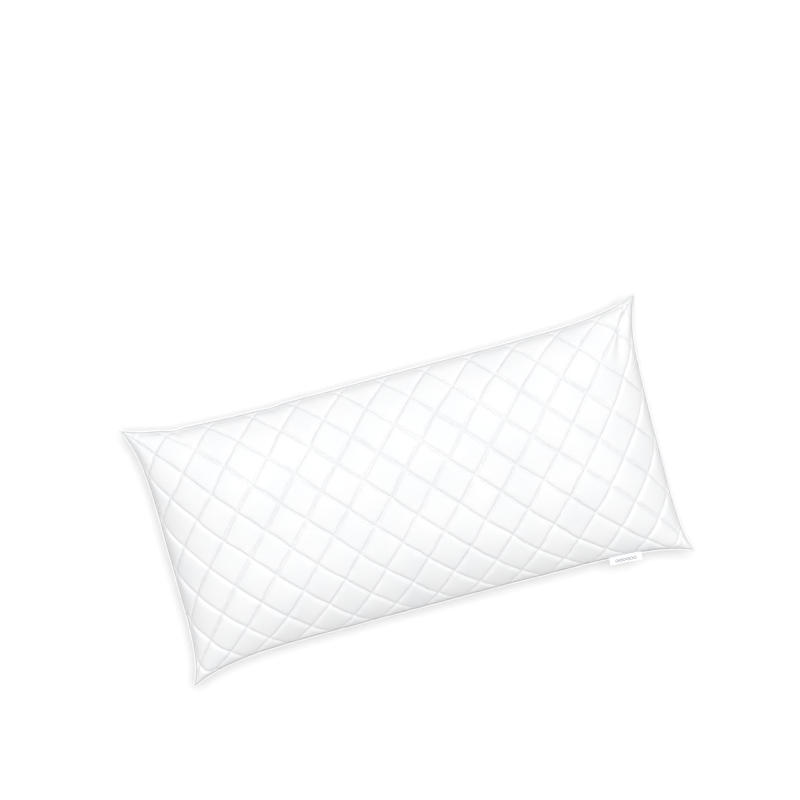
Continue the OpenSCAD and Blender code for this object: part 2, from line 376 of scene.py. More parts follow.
# Folds of the cloth by the ears and by the seam. A fold runs straight between two places on the flat
# panel, each given by its distances from the corner along x and along y. A negative depth is a ridge.
# (side of x, side of y, first place, second place, depth, width), in mm
CREASES = (
    (1, 1, (30, 3), (3, 42), 2.0, 3.5),
    (1, 1, (26, 30), (50, 102), 5.4, 9),
    (1, 1, (28, 15), (60, 80), -3.6, 8),
    (1, 1, (12, 44), (30, 100), -1.5, 6),
    (-1, -1, (50, 5), (40, 22), 2.2, 4),
    (-1, -1, (40, 8), (6, 50), 1.2, 3.5),
    (-1, -1, (6, 40), (5, 96), 1.2, 2.4),
    (1, -1, (13, 16), (15, 54), 2.2, 2.8),
    (1, -1, (7, 5), (20, 14), 1.8, 2.4),
    (-1, 1, (34, 5), (8, 38), 0.9, 4),
    (-1, 1, (92, 3), (98, 24), 1.6, 3.2),
    (-1, 1, (107, 3), (112, 18), 1.1, 2.8),
    (-1, 1, (236, 2), (238, 18), 1.5, 3.5),
)


def creases(u, v, wider):
    """How deep the folds press the cloth in. A ply behind the face follows them in wider, lower curves."""
    deep = 0 * u
    for right, back, first, second, depth, width in CREASES:
        a = np.array([right * (HALF_U - first[0] * MM), back * (HALF_V - first[1] * MM)])
        b = np.array([right * (HALF_U - second[0] * MM), back * (HALF_V - second[1] * MM)])
        run = b - a
        share = np.clip(((u - a[0]) * run[0] + (v - a[1]) * run[1]) / (run @ run), 0, 1)
        away = np.hypot(u - a[0] - share * run[0], v - a[1] - share * run[1])
        # a fold is deepest at its first place, and fades towards the second
        if depth < 0 and wider:
            depth = depth / 2
        deep = deep + depth * MM * (1 - 0.75 * share**2) * np.exp(-((away / (width * MM + wider)) ** 2))
    return deep


def surface(side, u, v, part, lift=0.0):
    place, normal = base_place(side, u, v)
    inwards = smooth(rim_distance(u, v) / (6 * MM))[..., None]
    straight_up = np.zeros_like(normal)
    straight_up[..., 2] = side
    direction = normal * inwards + straight_up * (1 - inwards)
    direction /= np.linalg.norm(direction, axis=-1, keepdims=True)
    height = stack(side, u, v, part)
    inner = rim_distance(u, v)
    lumps = 1.0 * MM * noise(u, v, 75 * MM, 51 + side) + 0.5 * MM * noise(u, v, 33 * MM, 61 + side)
    lumps = lumps * smooth(inner / (40 * MM))
    # the seam gathers the cloth a little all the way along, and the folds press it in;
    # where the pillow is thin both panels do so together
    gathers = 0.5 * MM * noise(u, v, 13 * MM, 101) * np.exp(-inner / (16 * MM)) * smooth(inner / (4 * MM))
    wider = {"face_out": 0, "face_in": 2 * MM}.get(part, 5 * MM)
    together = gathers - creases(u, v, wider) * smooth(inner / (5 * MM))
    thin = 1 - smooth((half_gap(u, v, side) - 3 * MM) / (12 * MM))
    lumps = lumps + together * (1 if side == TOP else -thin)
    out = place + direction * (height + lumps + lift)[..., None]
    if side == BOTTOM:
        # the surface below flattens what would reach under it, and every ply inside keeps its distance
        floor = FLOOR_Z + (stack(side, u, v, "face_out") - height) * 0.9
        out[..., 2] = np.maximum(out[..., 2], floor)
    return out


# ---------------------------------------------------------------- meshes
def add_mesh(name, points, faces, material, flat_uv=None):
    mesh = bpy.data.meshes.new(name)
    mesh.from_pydata(np.asarray(points).tolist(), [], faces)
    mesh.shade_smooth()
    if flat_uv is not None:
        layer = mesh.uv_layers.new(name="cloth")
        corner = np.empty(len(mesh.loops), int)
        mesh.loops.foreach_get("vertex_index", corner)
        layer.data.foreach_set("uv", np.asarray(flat_uv)[corner].astype(np.float32).ravel())
    mesh.materials.append(material)
    piece = bpy.data.objects.new(name, mesh)
    bpy.context.collection.objects.link(piece)
    return piece


def rim_order(nu, nv):
    """The rim's grid indices, once round, from the corner at low u and low v."""
    return (
        [(i, 0) for i in range(nu - 1)]
        + [(nu - 1, j) for j in range(nv - 1)]
        + [(i, nv - 1) for i in range(nu - 1, 0, -1)]
        + [(0, j) for j in range(nv - 1, 0, -1)]
    )


def quilt_faces(us, vs, first_u, first_v, per_step, offset, flip):
    """Triangles of a grid, each cell split along the nearest line of quilting."""
    faces = []
    nv = len(vs)

    def steps_to_line(index):
        return abs(index % (2 * per_step) - per_step)

    for i in range(len(us) - 1):
        for j in range(nv - 1):
            a = offset + i * nv + j
            b, c, d = a + nv, a + nv + 1, a + 1
            m, n = first_u + i, first_v + j
            falls = steps_to_line(m + n + 1) < steps_to_line(m - n)
            if i in (0, len(us) - 2) and j in (0, nv - 2):
                # both triangles of a corner's cell reach inside the rim, which the filling's halves share
                falls = (i == 0) != (j == 0)
            pair = ((a, b, d), (b, c, d)) if falls else ((a, b, c), (a, c, d))
            faces += [t[::-1] for t in pair] if flip else list(pair)
    return faces


def zip_rims(outer, outer_share, inner, inner_share, flip):
    """A band of triangles between two closed rims that may have different numbers of points."""
    faces, i, j = [], 0, 0
    while i < len(outer) or j < len(inner):
        next_outer = outer_share[i + 1] if i < len(outer) else 2.0
        next_inner = inner_share[j + 1] if j < len(inner) else 2.0
        a, b = outer[i % len(outer)], inner[j % len(inner)]
        if next_outer <= next_inner:
            face = (a, b, outer[(i + 1) % len(outer)])
            i += 1
        else:
            face = (a, b, inner[(j + 1) % len(inner)])
            j += 1
        faces.append(face[::-1] if flip else face)
    return faces


def rim_shares(us, vs):
    """How far round the rim each of its points is, from 0 to 1, and 1 again at the end."""
    order = rim_order(len(us), len(vs))
    places = np.array([(us[i], vs[j]) for i, j in order] + [(us[0], vs[0])])
    steps = np.linalg.norm(np.diff(places, axis=0), axis=1)
    return np.concatenate([[0], np.cumsum(steps)]) / steps.sum()


def lines_across(half, shift, step):
    """Grid lines from rim to rim that run through shift, and the first one's number from there."""
    low, high = math.ceil((-half - shift) / step + 0.3), math.floor((half - shift) / step - 0.3)
    return np.concatenate([[-half], shift + np.arange(low, high + 1) * step, [half]]), low - 1


def grid_lines(per_step, inset=0.0):
    """Grid lines on the panel, with every line of quilting running through grid points."""
    us, low_u = lines_across(HALF_U - inset, 0.0, STEP_U / per_step)
    vs, low_v = lines_across(HALF_V - inset, SHIFT_V, STEP_V / per_step)
    return us, vs, low_u, low_v


# the plies behind the face fabric stop this far inside the seam, where only the face fabric is sewn in
INNER_INSET = 10 * MM


def ply(name, side, outer_part, inner_part, outer_step, inner_step, material, node, inset=0.0):
    """One layer of a panel as a closed shell."""
    points, faces, uvs, rims = [], [], [], []
    count = 0
    faces_of = ((outer_part, outer_step, side == BOTTOM), (inner_part, inner_step, side == TOP))
    for part, per_step, flip in faces_of:
        us, vs, low_u, low_v = grid_lines(per_step, inset)
        gu, gv = np.meshgrid(us, vs, indexing="ij")
        points.append(surface(side, gu, gv, part).reshape(-1, 3))
        uvs.append(np.stack([gu, gv], -1).reshape(-1, 2))
        faces += quilt_faces(us, vs, low_u, low_v, per_step, count, flip)
        rims.append(([count + i * len(vs) + j for i, j in rim_order(len(us), len(vs))], rim_shares(us, vs)))
        count += len(points[-1])
    faces += zip_rims(rims[0][0], rims[0][1], rims[1][0], rims[1][1], side == BOTTOM)
    piece = add_mesh(name, np.concatenate(points), faces, material, flat_uv=np.concatenate(uvs))
    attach(piece, "pillow")
    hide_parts(node)
    return piece


# ---------------------------------------------------------------- materials
def new_material(name, color, roughness, sheen=0.0):
    material = bpy.data.materials.new(name)
    material.use_nodes = True
    tree = material.node_tree
    shader = tree.nodes["Principled BSDF"]
    shader.inputs["Base Color"].default_value = (*color, 1)
    shader.inputs["Roughness"].default_value = roughness
    shader.inputs["Specular IOR Level"].default_value = 0.3
    shader.inputs["Sheen Weight"].default_value = sheen
    shader.inputs["Sheen Roughness"].default_value = 0.4
    return material, tree, shader


def node(tree, kind, **values):
    made = tree.nodes.new(kind)
    for key, value in values.items():
        if key in made.inputs:
            made.inputs[key].default_value = value
        else:
            setattr(made, key, value)
    return made


def math_node(tree, operation, first, second=None):
    made = node(tree, "ShaderNodeMath", operation=operation)
    for socket, value in enumerate((first, second)):
        if isinstance(value, (int, float)):
            made.inputs[socket].default_value = value
        elif value is not None:
            tree.links.new(value, made.inputs[socket])
    return made.outputs[0]


def mottled(tree, shader, vector, scale, low, high):
    """Base colour that drifts between two near shades."""
    spots = node(tree, "ShaderNodeTexNoise", Scale=scale, Detail=3.0)
    ramp = node(tree, "ShaderNodeValToRGB")
    ramp.color_ramp.elements[0].position, ramp.color_ramp.elements[1].position = 0.3, 0.7
    ramp.color_ramp.elements[0].color, ramp.color_ramp.elements[1].color = (*low, 1), (*high, 1)
    tree.links.new(vector, spots.inputs["Vector"])
    tree.links.new(spots.outputs["Fac"], ramp.inputs["Fac"])
    tree.links.new(ramp.outputs["Color"], shader.inputs["Base Color"])
    return ramp.outputs["Color"]


# the shade colour multiplies the face's base colour along the lines of quilting: painted shade of the grooves
PINCH, PINCH_DEPTH, PAINTED_GROOVE_SHADE = 1.5 * MM, 0.32 * MM, (0.91, 0.915, 0.92, 1)


def pinched(tree, split):
    """1 on the lines of quilting, where the thread pinches the cloth, and 0 beyond PINCH from them. It drives
    the groove's bump and the painted shade along the lines.
    """
    along = math_node(tree, "MULTIPLY", split.outputs[0], 0.5 / STEP_U)
    across = math_node(tree, "SUBTRACT", split.outputs[1], SHIFT_V)
    across = math_node(tree, "MULTIPLY", across, 0.5 / STEP_V)
    turns = [math_node(tree, operation, along, across) for operation in ("ADD", "SUBTRACT")]
    nearest = math_node(tree, "MAXIMUM", *(math_node(tree, "PINGPONG", turn, 0.5) for turn in turns))
    rise = node(tree, "ShaderNodeMapRange", interpolation_type="SMOOTHSTEP")
    rise.inputs["From Min"].default_value = 0.5 - PINCH / LINE_GAP
    rise.inputs["From Max"].default_value = 0.5
    tree.links.new(nearest, rise.inputs["Value"])
    return rise.outputs["Result"]


def woven_material(name, low, high, pitch, weave_depth, nap_depth, quilted=False):
    """Plain-woven microfibre: over and under threads at the weave's pitch, with a brushed nap."""
    material, tree, shader = new_material(name, high, 0.82, 0.1)
    uv = node(tree, "ShaderNodeUVMap", uv_map="cloth").outputs["UV"]
    split = node(tree, "ShaderNodeSeparateXYZ")
    tree.links.new(uv, split.inputs[0])
    turns = [math_node(tree, "MULTIPLY", split.outputs[axis], 2 * math.pi / pitch) for axis in (0, 1)]
    weave = math_node(tree, "MULTIPLY", *(math_node(tree, "SINE", turn) for turn in turns))
    nap = node(tree, "ShaderNodeTexNoise", Scale=900.0, Detail=3.0)
    tree.links.new(uv, nap.inputs["Vector"])
    first = node(tree, "ShaderNodeBump", Strength=0.35, Distance=weave_depth)
    second = node(tree, "ShaderNodeBump", Strength=0.5, Distance=nap_depth)
    tree.links.new(weave, first.inputs["Height"])
    tree.links.new(nap.outputs["Fac"], second.inputs["Height"])
    tree.links.new(first.outputs["Normal"], second.inputs["Normal"])
    tree.links.new(second.outputs["Normal"], shader.inputs["Normal"])
    color = mottled(tree, shader, uv, 14.0, low, high)
    if quilted:
        pinch = pinched(tree, split)
        groove = node(tree, "ShaderNodeBump", Strength=1.0, Distance=PINCH_DEPTH, invert=True)
        tree.links.new(pinch, groove.inputs["Height"])
        tree.links.new(groove.outputs["Normal"], first.inputs["Normal"])
        # painted shade: the base colour darkens, unevenly, along the lines of quilting
        shade = node(tree, "ShaderNodeMixRGB", blend_type="MULTIPLY")
        shade.inputs[2].default_value = PAINTED_GROOVE_SHADE
        uneven = node(tree, "ShaderNodeTexNoise", Scale=24.0, Detail=2.0)
        strength = node(tree, "ShaderNodeMapRange")
        strength.inputs["From Min"].default_value, strength.inputs["From Max"].default_value = 0.4, 0.65
        tree.links.new(uv, uneven.inputs["Vector"])
        tree.links.new(uneven.outputs["Fac"], strength.inputs["Value"])
        tree.links.new(math_node(tree, "MULTIPLY", pinch, strength.outputs["Result"]), shade.inputs[0])
        tree.links.new(color, shade.inputs[1])
        tree.links.new(shade.outputs[0], shader.inputs["Base Color"])
    rough = node(tree, "ShaderNodeMapRange")
    rough.inputs["To Min"].default_value, rough.inputs["To Max"].default_value = 0.74, 0.9
    tree.links.new(nap.outputs["Fac"], rough.inputs["Value"])
    tree.links.new(rough.outputs["Result"], shader.inputs["Roughness"])
    return material


def fibrous_material(name, low, high, scale, depth):
    """Loose or bonded fibre: tangled, fully matt."""
    material, tree, shader = new_material(name, high, 0.95, 0.2)
    place = node(tree, "ShaderNodeTexCoord").outputs["Object"]
    tangle = node(tree, "ShaderNodeTexNoise", Scale=scale, Detail=6.0, Roughness=0.7, Distortion=1.2)
    bump = node(tree, "ShaderNodeBump", Strength=0.8, Distance=depth)
    tree.links.new(place, tangle.inputs["Vector"])
    tree.links.new(tangle.outputs["Fac"], bump.inputs["Height"])
    tree.links.new(bump.outputs["Normal"], shader.inputs["Normal"])
    mottled(tree, shader, place, scale / 4, low, high)
    return material


face_material = woven_material(
    "microfibre_white", (0.78, 0.785, 0.795), (0.815, 0.815, 0.82),
    pitch=0.7 * MM, weave_depth=0.06 * MM, nap_depth=0.05 * MM, quilted=True,
)
piping_material = woven_material(
    "piping_microfibre", (0.775, 0.78, 0.79), (0.81, 0.81, 0.815),
    pitch=0.6 * MM, weave_depth=0.05 * MM, nap_depth=0.04 * MM,
)
wadding_material, backing_material, fill_material, thread_material, cord_material = (
    fibrous_material(name, low, high, scale, depth * MM)
    for name, low, high, scale, depth in (
        ("wadding_fibre", (0.78, 0.8, 0.82), (0.88, 0.89, 0.9), 220.0, 0.6),
        ("nonwoven_backing", (0.74, 0.75, 0.77), (0.82, 0.83, 0.84), 700.0, 0.1),
        ("hollow_fibre", (0.82, 0.83, 0.85), (0.92, 0.92, 0.93), 60.0, 3.0),
        # the thread's colour is set a little below the white face fabric's: painted shade of thread lying in
        # the grooves
        ("quilting_thread", (0.74, 0.75, 0.765), (0.8, 0.805, 0.82), 2500.0, 0.05),
        ("cotton_cord", (0.8, 0.79, 0.75), (0.87, 0.86, 0.82), 1800.0, 0.1),
    )
)


RIB = 0.35 * MM


def label_ribbon():
    """Satin ribbon with a woven row of plain lozenges."""
    material, tree, shader = new_material("satin_ribbon", (0.9, 0.91, 0.93), 0.5, 0.1)
    uv = node(tree, "ShaderNodeUVMap", uv_map="cloth").outputs["UV"]
    split = node(tree, "ShaderNodeSeparateXYZ")
    tree.links.new(uv, split.inputs[0])

    # lozenges at an even pitch in a band across the middle of the label's upper ply
    pitch, size, line, count = 5.6 * MM, 2.6 * MM, 1.1 * MM, 6
    across = math_node(tree, "ABSOLUTE", math_node(tree, "SUBTRACT", split.outputs[1], 9.0 * MM))
    along = math_node(tree, "ADD", split.outputs[0], pitch / 2)
    along = math_node(tree, "PINGPONG", along, pitch / 2)
    ring = math_node(tree, "SUBTRACT", math_node(tree, "ADD", across, along), size)
    ring = math_node(tree, "ABSOLUTE", ring)
    reach = math_node(tree, "ABSOLUTE", split.outputs[0])
    inside = math_node(tree, "LESS_THAN", reach, count / 2 * pitch)
    drawn = math_node(tree, "MULTIPLY", math_node(tree, "LESS_THAN", ring, line / 2), inside)
    mix = node(tree, "ShaderNodeMixRGB")
    mix.inputs[1].default_value = (0.9, 0.91, 0.93, 1)
    mix.inputs[2].default_value = (0.07, 0.075, 0.09, 1)
    tree.links.new(drawn, mix.inputs[0])
    tree.links.new(mix.outputs[0], shader.inputs["Base Color"])
    ribs = math_node(tree, "MULTIPLY", split.outputs[1], 2 * math.pi / RIB)
    ribs = math_node(tree, "SINE", ribs)
    bump = node(tree, "ShaderNodeBump", Strength=0.4, Distance=0.04 * MM)
    tree.links.new(math_node(tree, "ADD", ribs, drawn), bump.inputs["Height"])
    tree.links.new(bump.outputs["Normal"], shader.inputs["Normal"])
    return material


label_material = label_ribbon()

# ---------------------------------------------------------------- the panels and the filling
FINE, MIDDLE, COARSE = 16, 8, 4
for side, word in ((TOP, "top"), (BOTTOM, "bottom")):
    panel = ply(
        f"{word}_quilted_face", side, "face_out", "face_in", FINE, MIDDLE,
        face_material, f"{word}_face_fabric",
    )
    ply(
        f"{word}_wadding_layer", side, "wadding_out", "wadding_in", COARSE, COARSE,
        wadding_material, f"{word}_wadding", INNER_INSET,
    )
    ply(
        f"{word}_backing_layer", side, "backing_out", "backing_in", COARSE, COARSE,
        backing_material, f"{word}_backing", INNER_INSET,
    )


def make_filling():
    """The loose filling: one closed form under both panels, which share their rim."""
    us, vs, low_u, low_v = grid_lines(COARSE, INNER_INSET)
    gu, gv = np.meshgrid(us, vs, indexing="ij")
    rim = np.zeros(gu.shape, bool)
    rim[[0, -1], :] = rim[:, [0, -1]] = True
    slack = -0.8 * MM * smooth(half_gap(gu, gv, TOP) / (8 * MM))
    clumps = 0.3 * MM * noise(gu, gv, 22 * MM, 71) * smooth(rim_distance(gu, gv) / (30 * MM))
    upper = surface(TOP, gu, gv, "fill", slack + clumps)
    lower = surface(BOTTOM, gu, gv, "fill", slack - clumps)
    upper[rim] = (upper[rim] + lower[rim]) / 2
    index = np.arange(gu.size).reshape(gu.shape)
    below = index.copy()
    below[~rim] = gu.size + np.arange((~rim).sum())
    faces = quilt_faces(us, vs, low_u, low_v, COARSE, 0, False)
    under = np.asarray(quilt_faces(us, vs, low_u, low_v, COARSE, 0, True))
    faces += below.ravel()[under].tolist()
    points = np.concatenate([upper.reshape(-1, 3), lower[~rim]])
    piece = add_mesh("fibre_filling", points, faces, fill_material)
    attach(piece, "pillow")
    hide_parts("fibre_fill")


make_filling()

# ---------------------------------------------------------------- stitches
STITCH, STITCH_GAP, THREAD_R = 2.9 * MM, 0.7 * MM, 0.26 * MM
STITCH_SIDES = 6
# along the stitch: how far it has come, how high it stands in mm and how thick it is
STITCH_RINGS = (
    (0.0, -0.30, 0.55),
    (0.14, 0.05, 0.95),
    (0.5, 0.16, 1.0),
    (0.86, 0.05, 0.95),
    (1.0, -0.30, 0.55),
)


def stitch_rings(side, starts, ends, part_lift):
    """The points of every stitch of a group, ring after ring along the stitch."""
    share = np.array([r[0] for r in STITCH_RINGS])
    u = starts[:, None, 0] + (ends - starts)[:, None, 0] * share
    v = starts[:, None, 1] + (ends - starts)[:, None, 1] * share
    lift = np.array([r[1] for r in STITCH_RINGS]) * MM + part_lift
    middle = surface(side, u, v, "face_out", 0 * u + lift)
    normal = base_place(side, u, v)[1]
    along = middle[:, -1] - middle[:, 0]
    along /= np.linalg.norm(along, axis=-1, keepdims=True)
    along = np.broadcast_to(along[:, None], normal.shape)
    across = np.cross(along, normal)
    across /= np.linalg.norm(across, axis=-1, keepdims=True)
    normal = np.cross(across, along)
    radius = THREAD_R * np.array([r[2] for r in STITCH_RINGS])[:, None]
    angles = 2 * math.pi * np.arange(STITCH_SIDES) / STITCH_SIDES
    rings = [middle + (math.cos(a) * across + math.sin(a) * normal) * radius for a in angles]
    points = np.stack(rings, 2).reshape(-1, 3)
    points[:, 2] = np.maximum(points[:, 2], FLOOR_Z)
    return points


def stitch_mesh(name, groups, part_lift, node):
    """Thread capsules that dive into the fabric. A group is a side and the (u, v) ends of its stitches."""
    levels = len(STITCH_RINGS)
    pattern = []
    for k in range(levels - 1):
        for m in range(STITCH_SIDES):
            a, b = k * STITCH_SIDES + m, k * STITCH_SIDES + (m + 1) % STITCH_SIDES
            pattern.append((a, a + STITCH_SIDES, b + STITCH_SIDES, b))
    pattern.append(tuple(range(STITCH_SIDES)))
    pattern.append(tuple(range((levels - 1) * STITCH_SIDES, levels * STITCH_SIDES))[::-1])
    block = levels * STITCH_SIDES
    points = np.concatenate([stitch_rings(side, starts, ends, part_lift) for side, starts, ends in groups])
    faces = [tuple(i + n for i in face) for n in range(0, len(points), block) for face in pattern]
    piece = add_mesh(name, points, faces, thread_material)
    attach(piece, "pillow")
    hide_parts(node)


def row_of_stitches(start, end, rng):
    length = math.dist(start, end)
    count = max(1, int(length / (STITCH + STITCH_GAP)))
    step = (np.array(end) - start) / count
    first = np.array(start) + step * np.arange(count)[:, None]
    share = STITCH / (STITCH + STITCH_GAP) * rng.uniform(0.94, 1.0, count)[:, None]
    return first + step * 0.08, first + step * (0.08 + share * 0.92)


def quilting_lines(lean, margin):
    """Both ends of each line of quilting of one direction, clipped to the panel less a margin."""
    lines = []
    slope = lean * STEP_V / STEP_U
    reach_u, reach_v = HALF_U - margin, HALF_V - margin
    for k in range(-20, 21):
        # the line's v at u = 0
        offset = SHIFT_V + (2 * k + 1) * STEP_V
        ends = sorted(((w - offset) / slope for w in (-reach_v, reach_v)))
        low, high = max(ends[0], -reach_u), min(ends[1], reach_u)
        if high - low > 4 * MM:
            lines.append(((low, offset + slope * low), (high, offset + slope * high)))
    return lines


def sew_quilting():
    for side, word in ((TOP, "top"), (BOTTOM, "bottom")):
        for lean, way in ((1, "rising"), (-1, "falling")):
            rng = np.random.default_rng(80 + side + 2 * lean)
            rows = [row_of_stitches(a, b, rng) for a, b in quilting_lines(lean, 1.5 * MM)]
            starts, ends = (np.concatenate([row[n] for row in rows]) for n in (0, 1))
            group = (side, starts, ends)
            stitch_mesh(f"{word}_stitches_{way}", [group], 0.0, f"{word}_quilting_thread_{way}")


SEAM_INSET = 2.2 * MM


def sew_edge():
    rng = np.random.default_rng(90)
    a, b = HALF_U - SEAM_INSET, HALF_V - SEAM_INSET
    corners = [(-a, -b), (a, -b), (a, b), (-a, b), (-a, -b)]
    rows = [row_of_stitches(p, q, rng) for p, q in zip(corners, corners[1:])]
    starts, ends = (np.concatenate([row[n] for row in rows]) for n in (0, 1))
    groups = [(side, starts, ends) for side in (TOP, BOTTOM)]
    stitch_mesh("edge_seam_stitches", groups, 0.15 * MM, "edge_seam_thread")


sew_quilting()
sew_edge()

# ---------------------------------------------------------------- piping
PIPING_GAP = 0.05 * MM
PIPING_CENTRE = PIPING_R + PIPING_GAP
PIPING_FABRIC = 0.4 * MM
CORD_R = 1.15 * MM
COVER_ANGLE = math.radians(150)
RING_STEP = 2.4 * MM
CORNER_RINGS = 7
CORNER_POINT = 1.5


def seam_route():
    """Places along the seam, anticlockwise from above, with the level outward direction at each.

    The outward vectors are longer than 1 round a corner, where the piping is pulled to a point.
    """
    corners = [(-HALF_U, -HALF_V), (HALF_U, -HALF_V), (HALF_U, HALF_V), (-HALF_U, HALF_V)]
    sides = []
    for p, q in zip(corners, corners[1:] + corners[:1]):
        count = round(math.dist(p, q) / RING_STEP)
        share = np.linspace(0, 1, count + 1)[:, None]
        uv = np.array(p) + (np.array(q) - p) * share
        place = base_place(TOP, uv[:, 0], uv[:, 1])[0]
        run = np.gradient(place[:, :2], axis=0)
        out = np.stack([run[:, 1], -run[:, 0]], -1)
        sides.append((place, out / np.linalg.norm(out, axis=-1, keepdims=True)))
    places, outs = [], []
    for n, (place, out) in enumerate(sides):
        following = sides[(n + 1) % 4][1][0]
        places.append(place[:-1])
        outs.append(out[:-1])
        first = math.atan2(out[-1][1], out[-1][0])
        turn = (math.atan2(following[1], following[0]) - first) % (2 * math.pi)
        share = np.arange(CORNER_RINGS) / CORNER_RINGS
        angles = first + turn * share
        # the outer edges run straight on towards a point, which is blunt
        pull = np.minimum(1 / np.cos(np.minimum(turn * share, turn * (1 - share))), CORNER_POINT)
        places.append(np.repeat(place[-1:], CORNER_RINGS, axis=0))
        outs.append(np.stack([np.cos(angles), np.sin(angles)], -1) * pull[:, None])
    return np.concatenate(places), np.concatenate(outs)


def tube_along_seam(name, sections, material, node_name):
    """sections has one closed list of (outward, up) offsets for each place along the seam."""
    places, outs = seam_route()
    flat_out = np.concatenate([outs, np.zeros((len(outs), 1))], -1)[:, None]
    points = places[:, None] + flat_out * sections[..., :1] + np.array([0, 0, 1.0]) * sections[..., 1:]
    rings, sides = sections.shape[:2]
    faces = []
    for k in range(rings):
        after = (k + 1) % rings
        for m in range(sides):
            n = (m + 1) % sides
            faces.append((k * sides + m, k * sides + n, after * sides + n, after * sides + m))
    length = np.cumsum(np.linalg.norm(np.diff(places, axis=0, prepend=places[:1]), axis=1))
    around = np.linspace(0, 2 * math.pi * PIPING_R, sides)
    uv = np.stack(np.broadcast_arrays(length[:, None], around[None]), -1).reshape(-1, 2)
    piece = add_mesh(name, points.reshape(-1, 3), faces, material, flat_uv=uv)
    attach(piece, "pillow")
    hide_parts(node_name)
    return piece


def make_piping():
    places, _ = seam_route()
    length = np.cumsum(np.linalg.norm(np.diff(places, axis=0, prepend=places[:1]), axis=1))[:, None]
    # the cover: wrapped round the cord, a little uneven, with slanting creases where the bias strip is pulled
    turns = np.linspace(COVER_ANGLE, -COVER_ANGLE, 15)[None]
    slant = np.sin(2 * math.pi * length / (9 * MM) + 1.5 * turns)
    uneven = 0.06 * MM * noise(length, turns * 2 * MM, 7 * MM, 91) + 0.035 * MM * slant
    outer = PIPING_R - 0.08 * MM + uneven
    inner = PIPING_R - PIPING_FABRIC + 0 * uneven

    def ring(radius, angle):
        return np.stack([PIPING_CENTRE + radius * np.cos(angle), radius * np.sin(angle)], -1)

    sections = np.concatenate([ring(outer, turns), ring(inner, turns)[:, ::-1]], 1)
    tube_along_seam("piping_welt", sections, piping_material, "piping_cover")
    # the cord: three strands laid together
    around = -np.linspace(0, 2 * math.pi, 12, endpoint=False)[None]
    strands = np.abs(np.cos(1.5 * (around - 2 * math.pi * length / (14 * MM))))
    sections = ring(CORD_R * (0.86 + 0.14 * strands), around)
    tube_along_seam("piping_cord_strands", sections, cord_material, "piping_cord")


make_piping()

# ---------------------------------------------------------------- label
hinge = frame["joints"][0]
LABEL_LENGTH, RIBBON = 50 * MM, 0.32 * MM
# the joint's axis is this far outside the seam
AXIS_OUT = 5 * MM
LABEL_HELD = 4 * MM
LABEL_ROWS, LABEL_CELLS = 40, 64
# (outward, up) along the upper ply in mm, from inside the seam to the fold
LABEL_ROUTE = (
    (-0.9, 0.7), (0.0, 1.5), (1.0, 2.05), (2.2, 2.2), (3.5, 1.8), (5.0, 1.35), (8, 1.1), (13, 0.9),
)


